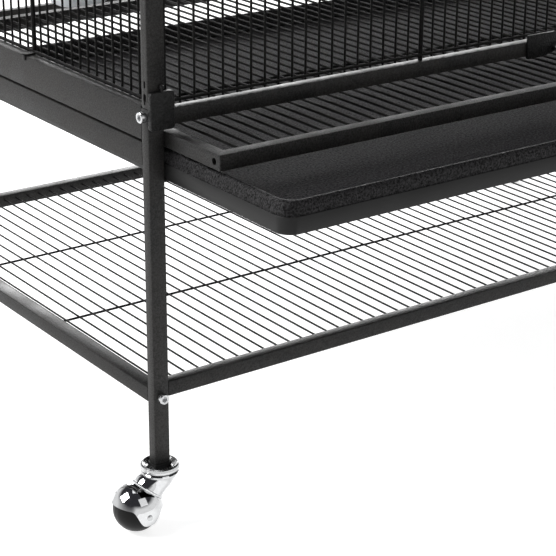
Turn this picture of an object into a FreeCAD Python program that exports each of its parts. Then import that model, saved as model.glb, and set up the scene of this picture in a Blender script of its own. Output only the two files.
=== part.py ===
# Bird cage on a wheeled stand: welded wire panels on a bolted tube frame, with a slide-out grate,
# a slide-out tray, a storage shelf, feeder cups, a front door and four ball casters.
# Units are millimetres. X runs along the front, Y goes from the front face to the rear, Z is up.
# While the parts are built, x = 0 is the middle of the cage, y = 0 the front face of the posts and
# z = 0 the floor. The exported frame is shifted so that its origin is the bottom centre of the box.
import FreeCAD
import Part
import math
import os

# ---- driving dimensions: the whole cage ----
WIDTH = 813.0
DEPTH = 483.0
HEIGHT = 1342.2
HALF = WIDTH / 2
WALL = 1.0                 # steel tube wall
FIT = 0.3                  # gap between parts of different bodies

# ---- posts and casters ----
GROUND = -3.8              # the surface the balls stand on, in the heights used below
LEG_X = 13.6
LEG_Y = 9.6
POST_X = 15.2
POST_Y = 8.6
LEG_BOTTOM = 48.2
CAP_H = 4.0
LEG_TOP = 338.6
BALL_R = 18.7
TRAIL = 22.5               # how far the ball stands off the swivel axis
CUP_R = 15.5
CUP_H = 5.2
STEM_R = 2.5
STEM_TOP = LEG_BOTTOM + 24.0
BORE_GAP = 0.05
AXLE_R = 2.2

# ---- shelf ----
SHELF_TOP = 118.2
SHELF_RAIL_H = 12.3
SHELF_RAIL_D = 10.7
SHELF_SIDE_TOP = 113.2
SHELF_SIDE_H = 12.0
SHELF_SIDE_W = 13.0
SHELF_WIRE_Z = 113.0
SHELF_PITCH = 12.86
SHELF_CROSS = (164.0, 314.0)

# ---- rails round the cage floor ----
RAIL_T = 10.0              # thickness of the side rails
TRAY_RAIL_Z = (293.9, 313.7)
SIDE_RAIL_Z = (313.9, 339.8)
FRONT_RAIL_Z = (324.3, 336.8)
FRONT_RAIL_D = LEG_Y
REAR_TRAY_RAIL_Z = (294.0, 306.0)
RUNNER_T = 1.2
RUNNER_W = 15.0            # how far a grate runner reaches in from the outer face
STRIP_X = (20.0, 28.0)     # the strips that the tray slides on, from the outer face

# ---- tray and grate, part-way out ----
SLIDE_INSET = 14.3         # both slides pass between the front posts
TRAY_BOTTOM = 282.6
TRAY_LIP = 295.4
TRAY_TOP = 305.8
TRAY_FRONT = -150.8
TRAY_DEPTH = 490.0
TRAY_CORNER = 12.0
TRAY_SLOPE = 4.5           # width of the sloping rim
TRAY_FLOOR = 289.0
GRATE_FRONT = -72.0
GRATE_DEPTH = 470.0
GRATE_Z = (308.2, 320.2)
GRATE_BAR = 10.5
GRATE_REAR_H = 6.2
GRATE_PITCH = 12.6
GRATE_HOLE_R = 2.7
GRATE_HOLE_Y = 7.4         # from the front of the grate

# ---- wire panels ----
FRONT_PITCH = 12.8
SIDE_PITCH = 12.6
SIDE_FIRST = 29.6          # first bar of a side panel, from the front face
SIDE_REAR_PITCH = 13.4
WIRE = 2.0
CROSS = 2.6
PANEL_FOOT = 341.5         # middle of the lowest cross wire
PANEL_HEAD = 1324.2
FRONT_PLANE = 5.0
SIDE_PLANE = 10.9          # from the outer face of the posts
CROSS_ROWS = 6
ROD_R = 1.9                # thick rods that carry the doors
FRONT_ROD = 261.9          # from the outer face of the left posts
SIDE_ROD = 190.7           # from the front face
FEEDER_FIRST = 9           # number of the bar at the front of the feeder opening
FRONT_DOOR_Z = (500.0, 880.0)
FEEDER_DOOR_Z = (400.0, 490.0)
KNUCKLE_R = 3.2
KNUCKLE_H = 12.0
LATCH_ROD_R = 1.4
DOOR_HINGE_GAP = 7.0       # from the rod to the door's first bar
DOOR_FREE_GAP = 5.0
DOOR_OFFSET = 5.6          # how far a feeder door stands outside its panel

# ---- feeder cup ----
CUP_WIDE = 39.0
CUP_OUT = 52.0
CUP_TALL = 62.0
CUP_FLOOR = 381.2
CUP_BACK = 2.0             # how far it hangs behind the middle of its opening
CUP_WALL = 2.0
CUP_TAPER = 5.0
CUP_BAR_Z = 434.0          # the wire across the opening that the cup hooks over
HOOK_W = 6.0
HOOK_Y = 9.0               # from the middle of the cup

# ---- corner brackets, screws and latch ----
BRACKET_X = 21.0
BRACKET_Z = (322.6, 351.6)
BRACKET_T = 4.0
CLIP_DROP = 3.2
CLIP_T = 1.6
LATCH_T = 2.4
SCREW_HEAD_R = 4.25
SCREW_HEAD_H = 5.0
SCREW_R = 2.5
SCREW_HOLE_R = 2.6
SCREW_LONG = 20.0
PLUG_LONG = 14.0           # threaded plugs in the ends of the rails
SHELF_SCREW_Z = 106.6
RAIL_SCREW_Z = 332.5
LATCH_Z = 330.0
ROOF_Z = 1332.2

# ---- the whole box, which places the origin ----
HOOD_R = BALL_R + 3.0
RIVET_H = 1.0
RIVET_R = 3.4
REAR_REACH = DEPTH - LEG_Y / 2 + HOOD_R + RIVET_H
SHIFT = -(TRAY_FRONT + REAR_REACH) / 2

os.makedirs("parts", exist_ok=True)
vec = FreeCAD.Vector
X_AXIS = vec(1, 0, 0)
Y_AXIS = vec(0, 1, 0)
Z_AXIS = vec(0, 0, 1)


def export(name, shape):
    """Move a finished shape into the exported frame and write it."""
    moved = shape.copy()
    moved.translate(vec(0, SHIFT, -GROUND))
    moved.exportStep("parts/" + name + ".step")


def box(x, y, z):
    """A box from three (low, high) pairs."""
    size = (x[1] - x[0], y[1] - y[0], z[1] - z[0])
    return Part.makeBox(size[0], size[1], size[2], vec(x[0], y[0], z[0]))


def rod(radius, start, end):
    """A round bar between two points."""
    way = end - start
    return Part.makeCylinder(radius, way.Length, start, way)


def tube(x, y, z, along):
    """A rectangular tube, open at both ends along one axis."""
    spans = []
    for axis, span in enumerate((x, y, z)):
        grow = WALL if axis == along else -WALL
        spans.append((span[0] - grow, span[1] + grow))
    return box(x, y, z).cut(box(*spans))


def mirrored(shape):
    """The same piece on the other side of the cage."""
    return shape.mirror(vec(0, 0, 0), X_AXIS)


def rounded(x, y, z, radius):
    """A closed outline with round corners at one height."""
    corners = (
        (x[1] - radius, y[1] - radius, 0),
        (x[0] + radius, y[1] - radius, 90),
        (x[0] + radius, y[0] + radius, 180),
        (x[1] - radius, y[0] + radius, 270),
    )
    edges = []
    last = None
    for cx, cy, start in corners:
        arc = Part.makeCircle(radius, vec(cx, cy, z), Z_AXIS, start, start + 90)
        if last:
            edges.append(Part.makeLine(last, arc.firstVertex().Point))
        edges.append(arc)
        last = arc.lastVertex().Point
    edges.append(Part.makeLine(last, edges[0].firstVertex().Point))
    return Part.Wire(edges)


def sheet(outer, holes, way):
    """A flat plate with windows, pushed along a vector."""
    face = Part.makeFace([outer] + holes, "Part::FaceMakerBullseye")
    return face.extrude(way)


def grille(bars, rows, place, way, reach=None):
    """A welded wire panel: bars at the given places, cross wires at the given rows.

    reach is how far the cross wires run past the first and last bars.
    """
    def loop(u, v):
        points = [place(u[0], v[0]), place(u[1], v[0]), place(u[1], v[1]), place(u[0], v[1])]
        return Part.makePolygon(points + points[:1])

    ends = (bars[0] - WIRE / 2, bars[-1] + WIRE / 2)
    holes = []
    for left, right in zip(bars, bars[1:]):
        for low, high in zip(rows, rows[1:]):
            window = (left + WIRE / 2, right - WIRE / 2), (low + CROSS / 2, high - CROSS / 2)
            holes.append(loop(*window))
    panel = sheet(loop(ends, (rows[0] - CROSS / 2, rows[-1] + CROSS / 2)), holes, way)
    tails = []
    for span in ((reach[0], ends[0]), (ends[1], reach[1])) if reach else ():
        for v in rows:
            tails.append(Part.Face(loop(span, (v - CROSS / 2, v + CROSS / 2))).extrude(way))
    return panel.multiFuse(tails) if tails else panel


def steps(start, end, pitch):
    """Places at an even pitch from start, no further than end."""
    count = int((end - start) / pitch + 1e-6)
    return [start + i * pitch for i in range(count + 1)]


def spread(start, end, gaps):
    """Places that divide a length into equal gaps."""
    return [start + (end - start) * i / gaps for i in range(gaps + 1)]


def front_panel(bars, rows, y, reach=None):
    return grille(bars, rows, lambda u, v: vec(u, y - WIRE / 2, v), vec(0, WIRE, 0), reach)


def side_panel(bars, rows, x, reach=None):
    return grille(bars, rows, lambda u, v: vec(x - WIRE / 2, u, v), vec(WIRE, 0, 0), reach)


def flat_panel(bars, rows, z):
    return grille(bars, rows, lambda u, v: vec(u, v, z - WIRE / 2), vec(0, 0, WIRE))


def rear(shape):
    """The same piece at the rear of the cage."""
    return shape.mirror(vec(0, DEPTH / 2, 0), Y_AXIS)


def four_corners(name, shape):
    """Export a front left piece and its three mirror images."""
    export(name + "_front_left", shape)
    export(name + "_front_right", mirrored(shape))
    export(name + "_rear_left", rear(shape))
    export(name + "_rear_right", mirrored(rear(shape)))


def both_sides(name, shape):
    export(name + "_left", shape)
    export(name + "_right", mirrored(shape))


# ---- fasteners ----
def screw(base, way, length):
    """A socket head cap screw: its head stands on base, its shank goes the other way."""
    head = Part.makeCylinder(SCREW_HEAD_R, SCREW_HEAD_H, base, way)
    side = way.cross(Z_AXIS)
    points = []
    for i in range(6):
        turn = math.radians(60 * i)
        offset = side * (2.3 * math.cos(turn)) + Z_AXIS * (2.3 * math.sin(turn))
        points.append(base + way * (SCREW_HEAD_H + 1) + offset)
    socket = Part.Face(Part.makePolygon(points + points[:1])).extrude(way * -3.6)
    shank = Part.makeCylinder(SCREW_R, length, base, way * -1)
    return head.cut(socket).fuse(shank).removeSplitter()


def side_screw_base():
    return vec(-HALF, LEG_Y / 2, RAIL_SCREW_Z)


def shelf_screw_base():
    return vec(-HALF + LEG_X / 2, 0, SHELF_SCREW_Z)


def all_corners(shape):
    """A front left piece with its three mirror images."""
    return [shape, mirrored(shape), rear(shape), mirrored(rear(shape))]


def screws():
    """Side screws hold the front and rear rails, front screws hold the shelf's side rails."""
    side = screw(side_screw_base(), X_AXIS * -1, SCREW_LONG)
    front = screw(shelf_screw_base(), Y_AXIS * -1, SCREW_LONG)
    middle = screw(vec(0, -LATCH_T - 2 * FIT, LATCH_Z), Y_AXIS * -1, 2 * FIT + LATCH_T + 6)
    return Part.makeCompound(all_corners(side) + all_corners(front) + [middle])


def rail_plugs():
    """Threaded plugs inside the ends of the rails that the screws go into."""
    def plug(x, y, z, base, way):
        inside = [(low + WALL, high - WALL) for low, high in (x, y, z)]
        return box(*inside).cut(Part.makeCylinder(SCREW_R, 60, base, way))

    x = (-HALF + LEG_X - WALL, -HALF + LEG_X + PLUG_LONG)
    rail = plug(x, (0, FRONT_RAIL_D), FRONT_RAIL_Z, side_screw_base(), X_AXIS)
    y = (LEG_Y - WALL, LEG_Y + PLUG_LONG)
    shelf_z = (SHELF_SIDE_TOP - SHELF_SIDE_H, SHELF_SIDE_TOP)
    shelf = plug((-HALF, -HALF + SHELF_SIDE_W), y, shelf_z, shelf_screw_base(), Y_AXIS)
    return Part.makeCompound(all_corners(rail) + all_corners(shelf))


def screw_hole(base, way, length):
    return Part.makeCylinder(SCREW_HOLE_R, length, base, way)


# ---- posts ----
def leg():
    """The lower tube of a post, from its caster to the corner bracket."""
    shape = tube((-HALF, -HALF + LEG_X), (0, LEG_Y), (LEG_BOTTOM, LEG_TOP), 2)
    across = screw_hole(side_screw_base() - X_AXIS, X_AXIS, LEG_X + 2)
    through = screw_hole(shelf_screw_base() - Y_AXIS, Y_AXIS, LEG_Y + 2)
    return shape.cut(across).cut(through)


def corner_post():
    """The upper tube of a post, with the keyhole and slot that a side panel hooks into."""
    shape = tube((-HALF, -HALF + POST_X), (0, POST_Y), (LEG_TOP, HEIGHT - CAP_H), 2)
    y = POST_Y / 2 - 0.3
    for radius, low, high in ((1.8, 345.4, 348.2), (1.0, 342.4, 343.0), (1.1, 355.0, 358.4)):
        for z in (low, high):
            shape = shape.cut(rod(radius, vec(-HALF - 1, y, z), vec(-HALF + 3, y, z)))
        shape = shape.cut(box((-HALF - 1, -HALF + 3), (y - radius, y + radius), (low, high)))
    return shape


def post_cap():
    return box((-HALF, -HALF + POST_X), (0, POST_Y), (HEIGHT - CAP_H, HEIGHT))


# ---- shelf ----
def shelf_rail():
    span = (-HALF + LEG_X, HALF - LEG_X)
    return tube(span, (0, SHELF_RAIL_D), (SHELF_TOP - SHELF_RAIL_H, SHELF_TOP), 0)


def shelf_side_rail():
    return tube(
        (-HALF, -HALF + SHELF_SIDE_W),
        (LEG_Y, DEPTH - LEG_Y),
        (SHELF_SIDE_TOP - SHELF_SIDE_H, SHELF_SIDE_TOP),
        1,
    )


def shelf_grille():
    """Wires from the front rail to the rear rail, with two cross wires."""
    ends = HALF - SHELF_SIDE_W - WIRE / 2 - FIT
    bars = spread(-ends, ends, round(2 * ends / SHELF_PITCH))
    rows = [SHELF_RAIL_D + CROSS / 2, *SHELF_CROSS, DEPTH - SHELF_RAIL_D - CROSS / 2]
    return flat_panel(bars, rows, SHELF_WIRE_Z)


# ---- rails at the cage floor ----
def side_rail(z):
    return tube((-HALF, -HALF + RAIL_T), (LEG_Y, DEPTH - LEG_Y), z, 1)


def cross_rail(z):
    return tube((-HALF + LEG_X, HALF - LEG_X), (0, FRONT_RAIL_D), z, 0)


def front_rail():
    """The front rail has a hole in its face for the latch screw."""
    hole = screw_hole(vec(0, -1, LATCH_Z), Y_AXIS, 3)
    return cross_rail(FRONT_RAIL_Z).cut(hole)


def grate_runner():
    """An angle strip on the inside of the side rails, with a ledge at its foot."""
    x = -HALF + RAIL_T
    y = (LEG_Y + FIT, DEPTH - LEG_Y - FIT)
    bottom = GRATE_Z[0] - FIT
    wall = box((x, x + RUNNER_T), y, (bottom - RUNNER_T, GRATE_Z[1]))
    ledge = box((x, -HALF + RUNNER_W), y, (bottom - RUNNER_T, bottom))
    return wall.fuse(ledge).removeSplitter()


def tray_runner():
    """A flat strip from a front leg to a rear leg, with a tab welded to each."""
    z = (TRAY_BOTTOM - FIT - RUNNER_T, TRAY_BOTTOM - FIT)
    strip = box((-HALF + STRIP_X[0], -HALF + STRIP_X[1]), (0, DEPTH), z)
    for y in ((0, LEG_Y), (DEPTH - LEG_Y, DEPTH)):
        strip = strip.fuse(box((-HALF + LEG_X, -HALF + STRIP_X[0]), y, z))
    return strip.removeSplitter()


# ---- tray and grate ----
def tray():
    x = (-HALF + SLIDE_INSET, HALF - SLIDE_INSET)
    y = (TRAY_FRONT, TRAY_FRONT + TRAY_DEPTH)

    def ring(inset, z):
        shrunk = (x[0] + inset, x[1] - inset), (y[0] + inset, y[1] - inset)
        return rounded(shrunk[0], shrunk[1], z, TRAY_CORNER)

    skirt = Part.Face(ring(0, TRAY_BOTTOM)).extrude(vec(0, 0, TRAY_LIP - TRAY_BOTTOM))
    rim = Part.makeLoft([ring(0, TRAY_LIP), ring(TRAY_SLOPE, TRAY_TOP)], True)
    well_top = ring(TRAY_SLOPE + 1.5, TRAY_TOP + 0.01)
    well = Part.makeLoft([ring(TRAY_SLOPE + 7, TRAY_FLOOR), well_top], True)
    under = Part.Face(ring(3, TRAY_BOTTOM - 1)).extrude(vec(0, 0, TRAY_FLOOR - 1.6 - TRAY_BOTTOM + 1))
    return skirt.fuse(rim).cut(well).cut(under)


def grate_frame():
    """Front bar, side bars and a thinner rear bar, welded end to end."""
    x = (-HALF + SLIDE_INSET, HALF - SLIDE_INSET)
    y = (GRATE_FRONT, GRATE_FRONT + GRATE_DEPTH)
    front = box(x, (y[0], y[0] + GRATE_BAR), GRATE_Z)
    for end, way in ((x[0], X_AXIS), (x[1], X_AXIS * -1)):
        hole = vec(end, y[0] + GRATE_HOLE_Y, sum(GRATE_Z) / 2) - way
        front = front.cut(rod(GRATE_HOLE_R, hole, hole + way * 6))
    side = box((x[0], x[0] + GRATE_BAR), (y[0] + GRATE_BAR, y[1]), GRATE_Z)
    across = (x[0] + GRATE_BAR, x[1] - GRATE_BAR)
    back = box(across, (y[1] - GRATE_BAR, y[1]), (GRATE_Z[1] - GRATE_REAR_H, GRATE_Z[1]))
    return Part.makeCompound([front, side, mirrored(side), back])


def grate_wires():
    """The floor wires, level with the top of the frame."""
    inset = SLIDE_INSET + GRATE_BAR
    ends = HALF - inset - WIRE / 2
    bars = spread(-ends, ends, round(2 * ends / GRATE_PITCH))
    y = (GRATE_FRONT + GRATE_BAR + CROSS / 2, GRATE_FRONT + GRATE_DEPTH - GRATE_BAR - CROSS / 2)
    return flat_panel(bars, [y[0], *spread(*y, 3)[1:3], y[1]], GRATE_Z[1] - 2.2)


def grate_latch():
    """A tab that hangs from the middle screw and drops in front of the grate."""
    left = -32.0
    points = [(left, 13.0), (left, -7.5), (left + 18, -7.5), (5.5, -3.0), (5.5, 6.5), (0.0, 13.0)]
    outline = [vec(u, -FIT - LATCH_T, LATCH_Z + v) for u, v in points]
    plate = Part.Face(Part.makePolygon(outline + outline[:1])).extrude(vec(0, LATCH_T, 0))
    hole = rod(SCREW_R + BORE_GAP, vec(0, -LATCH_T - 1, LATCH_Z), vec(0, 1, LATCH_Z))
    return plate.cut(hole)


# ---- brackets at the front corners ----
def corner_bracket():
    """A plate over the joint, with a round-headed pin on top that locates the front panel."""
    plate = box((-HALF, -HALF + BRACKET_X), (-BRACKET_T, 0), BRACKET_Z)
    foot = vec(-HALF + 10.8, -BRACKET_T / 2, BRACKET_Z[1])
    pin = Part.makeCylinder(1.2, 3.0, foot - Z_AXIS, Z_AXIS)
    return plate.fuse(pin).fuse(Part.makeSphere(1.9, foot + Z_AXIS * 3.2))


def panel_clip():
    """A hook that holds a side panel down on its rail, at the thick rod."""
    y = (SIDE_ROD - 5.5, SIDE_ROD - 0.5)
    top = SIDE_RAIL_Z[1]
    plate = box((-HALF - 1.4, -HALF - 0.1), y, (top - CLIP_DROP, top + CLIP_T))
    lip = box((-HALF - 1.4, -HALF + SIDE_PLANE - 2.2), y, (top + 0.1, top + CLIP_T))
    return plate.fuse(lip).removeSplitter()


# ---- wire panels of the cage ----
def door_edges():
    """The left and right sides of the front opening, where the two thick rods stand."""
    return -HALF + FRONT_ROD, HALF - FRONT_ROD


def front_grille():
    """Four wire fields round the door opening, and the two thick rods."""
    left, right = door_edges()
    post = -HALF + POST_X
    y = FRONT_PLANE
    rows = spread(PANEL_FOOT, PANEL_HEAD, CROSS_ROWS)
    count = int((left - post) / FRONT_PITCH)
    bars = [left - FRONT_PITCH * (i + 1) for i in range(count)][::-1]
    field = front_panel(bars, rows, y, (post, left - ROD_R))
    middle = steps(left + FRONT_PITCH, right - FRONT_PITCH / 2, FRONT_PITCH)
    between = (left + ROD_R, right - ROD_R)
    low, high = FRONT_DOOR_Z
    below = front_panel(middle, [rows[0], low - CROSS], y, between)
    above = front_panel(middle, [high + CROSS, *rows[5:]], y, between)
    rods = [rod(ROD_R, vec(x, y, FRONT_RAIL_Z[1]), vec(x, y, PANEL_HEAD)) for x in (left, right)]
    return Part.makeCompound([field, mirrored(field), below, above, *rods])


def feeder_span():
    return SIDE_FIRST + FEEDER_FIRST * SIDE_PITCH, SIDE_ROD


def side_grille():
    """Wire fields round the feeder opening, the door's thick rod and the wire that holds a cup."""
    x = -HALF + SIDE_PLANE
    near, far = feeder_span()
    rows = spread(PANEL_FOOT, PANEL_HEAD, CROSS_ROWS)
    front_bars = [SIDE_FIRST + SIDE_PITCH * i for i in range(FEEDER_FIRST + 1)]
    rear_bars = steps(far + SIDE_PITCH, DEPTH - POST_Y - WIRE, SIDE_REAR_PITCH)
    middle = steps(near + SIDE_PITCH, far - SIDE_PITCH / 2, SIDE_PITCH)
    between = (near + WIRE / 2, far - ROD_R)
    low, high = FEEDER_DOOR_Z
    fields = [
        side_panel(front_bars, rows, x, (POST_Y, near + WIRE / 2)),
        side_panel(rear_bars, rows, x, (far + ROD_R, DEPTH - POST_Y)),
        side_panel(middle, [rows[0], low - CROSS], x, between),
        side_panel(middle, [high + CROSS, *rows[1:]], x, between),
    ]
    hinge_rod = rod(ROD_R, vec(x, far, SIDE_RAIL_Z[1]), vec(x, far, PANEL_HEAD))
    cup_bar = box((x - 1, x + 1), between, (CUP_BAR_Z - 1.3, CUP_BAR_Z + 1.3))
    return Part.makeCompound(fields + [hinge_rod, cup_bar])


def rear_grille():
    start = -HALF + POST_X + WIRE / 2
    bars = spread(start, -start, round(-2 * start / FRONT_PITCH))
    rows = spread(PANEL_FOOT, PANEL_HEAD, CROSS_ROWS)
    return front_panel(bars, rows, DEPTH - FRONT_PLANE)


def roof_grille():
    start = -HALF + RAIL_T + WIRE / 2
    bars = spread(start, -start, round(-2 * start / FRONT_PITCH))
    rows = spread(POST_Y + CROSS / 2, DEPTH - POST_Y - CROSS / 2, 3)
    return flat_panel(bars, rows, ROOF_Z)


def top_rail():
    return tube((-HALF + POST_X, HALF - POST_X), (0, POST_Y), (ROOF_Z - 6, ROOF_Z + 6), 0)


def top_side_rail():
    return tube((-HALF, -HALF + RAIL_T), (POST_Y, DEPTH - POST_Y), (ROOF_Z - 6, ROOF_Z + 6), 1)


# ---- doors ----
def hinge_straps(panel, axis, first_bar, heights):
    """Two knuckles round a door's rod, each with an arm to the door's first bar.

    axis is the rod's place and first_bar the (x, y) of the door's first bar.
    """
    straps = []
    for z in heights:
        knuckle = Part.makeCylinder(KNUCKLE_R, KNUCKLE_H, vec(axis[0], axis[1], z), Z_AXIS)
        low = [min(a, b) - WIRE / 2 for a, b in zip(axis, first_bar)]
        high = [max(a, b) + WIRE / 2 for a, b in zip(axis, first_bar)]
        arm = box((low[0], high[0]), (low[1], high[1]), (z, z + KNUCKLE_H))
        bore = Part.makeCylinder(ROD_R + BORE_GAP, KNUCKLE_H + 2, vec(axis[0], axis[1], z - 1), Z_AXIS)
        straps.append(knuckle.fuse(arm).cut(bore).cut(panel).removeSplitter())
    return straps


def bolt_place():
    """The free side of the front door, behind it, at half its height."""
    y = FRONT_PLANE + ROD_R + FIT + LATCH_ROD_R
    return door_edges()[1], y, sum(FRONT_DOOR_Z) / 2


def door_bars():
    """The front door's bars, clear of the rods on both sides."""
    left, right = door_edges()
    inside = (left + DOOR_HINGE_GAP, right - DOOR_FREE_GAP)
    return spread(*inside, round((inside[1] - inside[0]) / FRONT_PITCH))


def front_door():
    """A wire door that turns on the left thick rod, with two loops that guide its bolt."""
    left = door_edges()[0]
    low, high = FRONT_DOOR_Z
    bars = door_bars()
    panel = front_panel(bars, spread(low + 2, high - 2, 3), FRONT_PLANE)
    x, y, z = bolt_place()
    face = (FRONT_PLANE - WIRE / 2, FRONT_PLANE + WIRE / 2)
    plate = box((bars[-4], bars[-1]), face, (z - 3, z + 3))
    window = box((bars[-3] + 1.5, bars[-2] - 1.5), (0, 9), (z - 1.6, z + 1.6))
    panel = panel.fuse(plate).cut(window).removeSplitter()
    loops = []
    for middle in (bars[-4] + 2, bars[-1] - 2):
        loop = box((middle - 2, middle + 2), (face[1], y + 2.6), (z - 2.9, z + 2.9))
        bore = rod(LATCH_ROD_R + BORE_GAP, vec(middle - 3, y, z), vec(middle + 3, y, z))
        loops.append(loop.cut(bore))
    heights = (low + 30, high - 30)
    straps = hinge_straps(panel, (left, FRONT_PLANE), (bars[0], FRONT_PLANE), heights)
    return Part.makeCompound([panel, *straps, *loops])


def door_latch():
    """A bolt behind the free side of the door, drawn back, with a knob in front."""
    x, y, z = bolt_place()
    bars = door_bars()
    knob_x = bars[-3] + 3.4
    bolt = rod(LATCH_ROD_R, vec(bars[-4] - 3, y, z), vec(x - 4, y, z))
    stem = rod(1.2, vec(knob_x, y, z), vec(knob_x, -2.0, z))
    knob = Part.makeCylinder(4.0, 3.0, vec(knob_x, -5.0, z), Y_AXIS)
    return bolt.fuse(stem).fuse(knob)


def feeder_door():
    """A small wire door outside the opening that turns on the side's thick rod."""
    near, far = feeder_span()
    low, high = FEEDER_DOOR_Z
    x = -HALF + SIDE_PLANE
    door_x = x - DOOR_OFFSET
    bars = spread(near - 1.0, far - DOOR_HINGE_GAP, 3)
    panel = side_panel(bars, spread(low + 2, high - 2, 2), door_x)
    heights = (low + 14, high - 14 - KNUCKLE_H)
    return Part.makeCompound([panel, *hinge_straps(panel, (x, far), (door_x, bars[-1]), heights)])


def feeder_cup():
    """A tapered cup that hangs inside the feeder opening."""
    near, far = feeder_span()
    middle = (near + far) / 2 + CUP_BACK
    inner = -HALF + SIDE_PLANE + ROD_R + 2.0

    def ring(inset, z):
        x = (inner + inset / 2, inner + CUP_OUT - inset)
        return rounded(x, (middle - CUP_WIDE / 2 + inset, middle + CUP_WIDE / 2 - inset), z, 7)

    top = CUP_FLOOR + CUP_TALL
    outside = Part.makeLoft([ring(CUP_TAPER, CUP_FLOOR), ring(0, top)], True)
    low = ring(CUP_TAPER + CUP_WALL, CUP_FLOOR + CUP_WALL)
    inside = Part.makeLoft([low, ring(CUP_WALL, top + 0.5)], True)
    rim = Part.Face(ring(-1.4, top - 3)).extrude(vec(0, 0, 3))
    cup = outside.fuse(rim).cut(inside)
    bar_x = -HALF + SIDE_PLANE
    over = CUP_BAR_Z + 1.3 + FIT
    hooks = []
    for y in (middle - HOOK_Y, middle + HOOK_Y):
        width = (y - HOOK_W / 2, y + HOOK_W / 2)
        top_part = box((bar_x - 3.0, inner + CUP_WALL / 2), width, (over, over + 2))
        lip = box((bar_x - 3.0, bar_x - 1.4), width, (over - 6, over + 2))
        hooks.append(top_part.fuse(lip).cut(cup).removeSplitter())
    return Part.makeCompound([cup, *hooks])


# ---- casters: the front left one trails towards -X ----
def axis_point(z):
    return vec(-HALF + LEG_X / 2, LEG_Y / 2, z)


def ball_centre():
    return vec(-HALF + LEG_X / 2 - TRAIL, LEG_Y / 2, GROUND + BALL_R)


def caster_cup():
    """The plated flange under the post and the plug that holds the stem."""
    flange = Part.makeCylinder(CUP_R, CUP_H, axis_point(LEG_BOTTOM - CUP_H), Z_AXIS)
    flange = flange.makeFillet(1.6, flange.Edges)
    inside = (-HALF + WALL + 0.05, -HALF + LEG_X - WALL - 0.05)
    across = (WALL + 0.05, LEG_Y - WALL - 0.05)
    plug = box(inside, across, (LEG_BOTTOM - 1, STEM_TOP + 3))
    bore = Part.makeCylinder(STEM_R + BORE_GAP, 40, axis_point(LEG_BOTTOM - 10), Z_AXIS)
    return flange.fuse(plug).cut(bore)


def caster_hood():
    """A plated hood over the ball, its swivel head and its stem."""
    centre = ball_centre()
    shell = Part.makeSphere(HOOD_R, centre)
    cover = box((-HALF - 60, -HALF + 40), (-40, 60), (GROUND + BALL_R + 2, 60))
    ears = rod(8.0, centre - Y_AXIS * HOOD_R, centre + Y_AXIS * HOOD_R)
    kept = shell.common(cover.fuse(ears))
    head_top = LEG_BOTTOM - CUP_H - FIT
    head = Part.makeCylinder(CUP_R - 1.3, 4.0, axis_point(head_top - 4.0), Z_AXIS)
    neck = Part.makeCone(8.5, CUP_R - 1.8, 14.0, axis_point(head_top - 18.0), Z_AXIS)
    stem = Part.makeCylinder(STEM_R, STEM_TOP - head_top + 4, axis_point(head_top - 4), Z_AXIS)
    hollow = Part.makeSphere(BALL_R + 1.6, centre)
    body = kept.fuse(neck).fuse(head).cut(hollow)
    hole = rod(AXLE_R, centre - Y_AXIS * 40, centre + Y_AXIS * 40)
    return body.cut(hole).fuse(stem)


def caster_axle():
    """The axle, riveted over both ears of the hood."""
    centre = ball_centre()
    pin = rod(AXLE_R, centre - Y_AXIS * HOOD_R, centre + Y_AXIS * HOOD_R)
    for side in (Y_AXIS, Y_AXIS * -1):
        pin = pin.fuse(Part.makeCylinder(RIVET_R, RIVET_H, centre + side * HOOD_R, side))
    return pin


def caster_ball():
    centre = ball_centre()
    bore = rod(AXLE_R + BORE_GAP, centre - Y_AXIS * 40, centre + Y_AXIS * 40)
    return Part.makeSphere(BALL_R, centre).cut(bore)


four_corners("leg", leg())
four_corners("corner_post", corner_post())
export("shelf_rail_front", shelf_rail())
export("shelf_rail_rear", rear(shelf_rail()))
both_sides("shelf_rail", shelf_side_rail())
export("shelf_grille", shelf_grille())
both_sides("tray_rail", side_rail(TRAY_RAIL_Z))
export("tray_rail_rear", rear(cross_rail(REAR_TRAY_RAIL_Z)))
both_sides("floor_rail", side_rail(SIDE_RAIL_Z))
export("floor_rail_front", front_rail())
export("floor_rail_rear", rear(cross_rail(FRONT_RAIL_Z)))
export("tray_runners", Part.makeCompound([tray_runner(), mirrored(tray_runner())]))
export("grate_runners", Part.makeCompound([grate_runner(), mirrored(grate_runner())]))
export("tray", tray())
export("grate_frame", grate_frame())
export("grate_wires", grate_wires())
export("grate_latch", grate_latch())
export("corner_brackets", Part.makeCompound([corner_bracket(), mirrored(corner_bracket())]))
export("panel_clips", Part.makeCompound([panel_clip(), mirrored(panel_clip())]))
export("socket_screws", screws())
export("rail_plugs", rail_plugs())
export("post_caps", Part.makeCompound(all_corners(post_cap())))
export("front_grille", front_grille())
both_sides("side_grille", side_grille())
export("rear_grille", rear_grille())
export("roof_grille", roof_grille())
export("top_rails_across", Part.makeCompound([top_rail(), rear(top_rail())]))
export("top_rails_side", Part.makeCompound([top_side_rail(), mirrored(top_side_rail())]))
export("front_door", front_door())
export("door_latch", door_latch())
both_sides("feeder_door", feeder_door())
both_sides("feeder_cup", feeder_cup())
four_corners("caster_cup", caster_cup())
four_corners("caster_hood", caster_hood())
four_corners("caster_axle", caster_axle())
four_corners("caster_ball", caster_ball())
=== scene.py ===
import math

import bmesh
import bpy
from mathutils import Matrix, Vector


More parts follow.
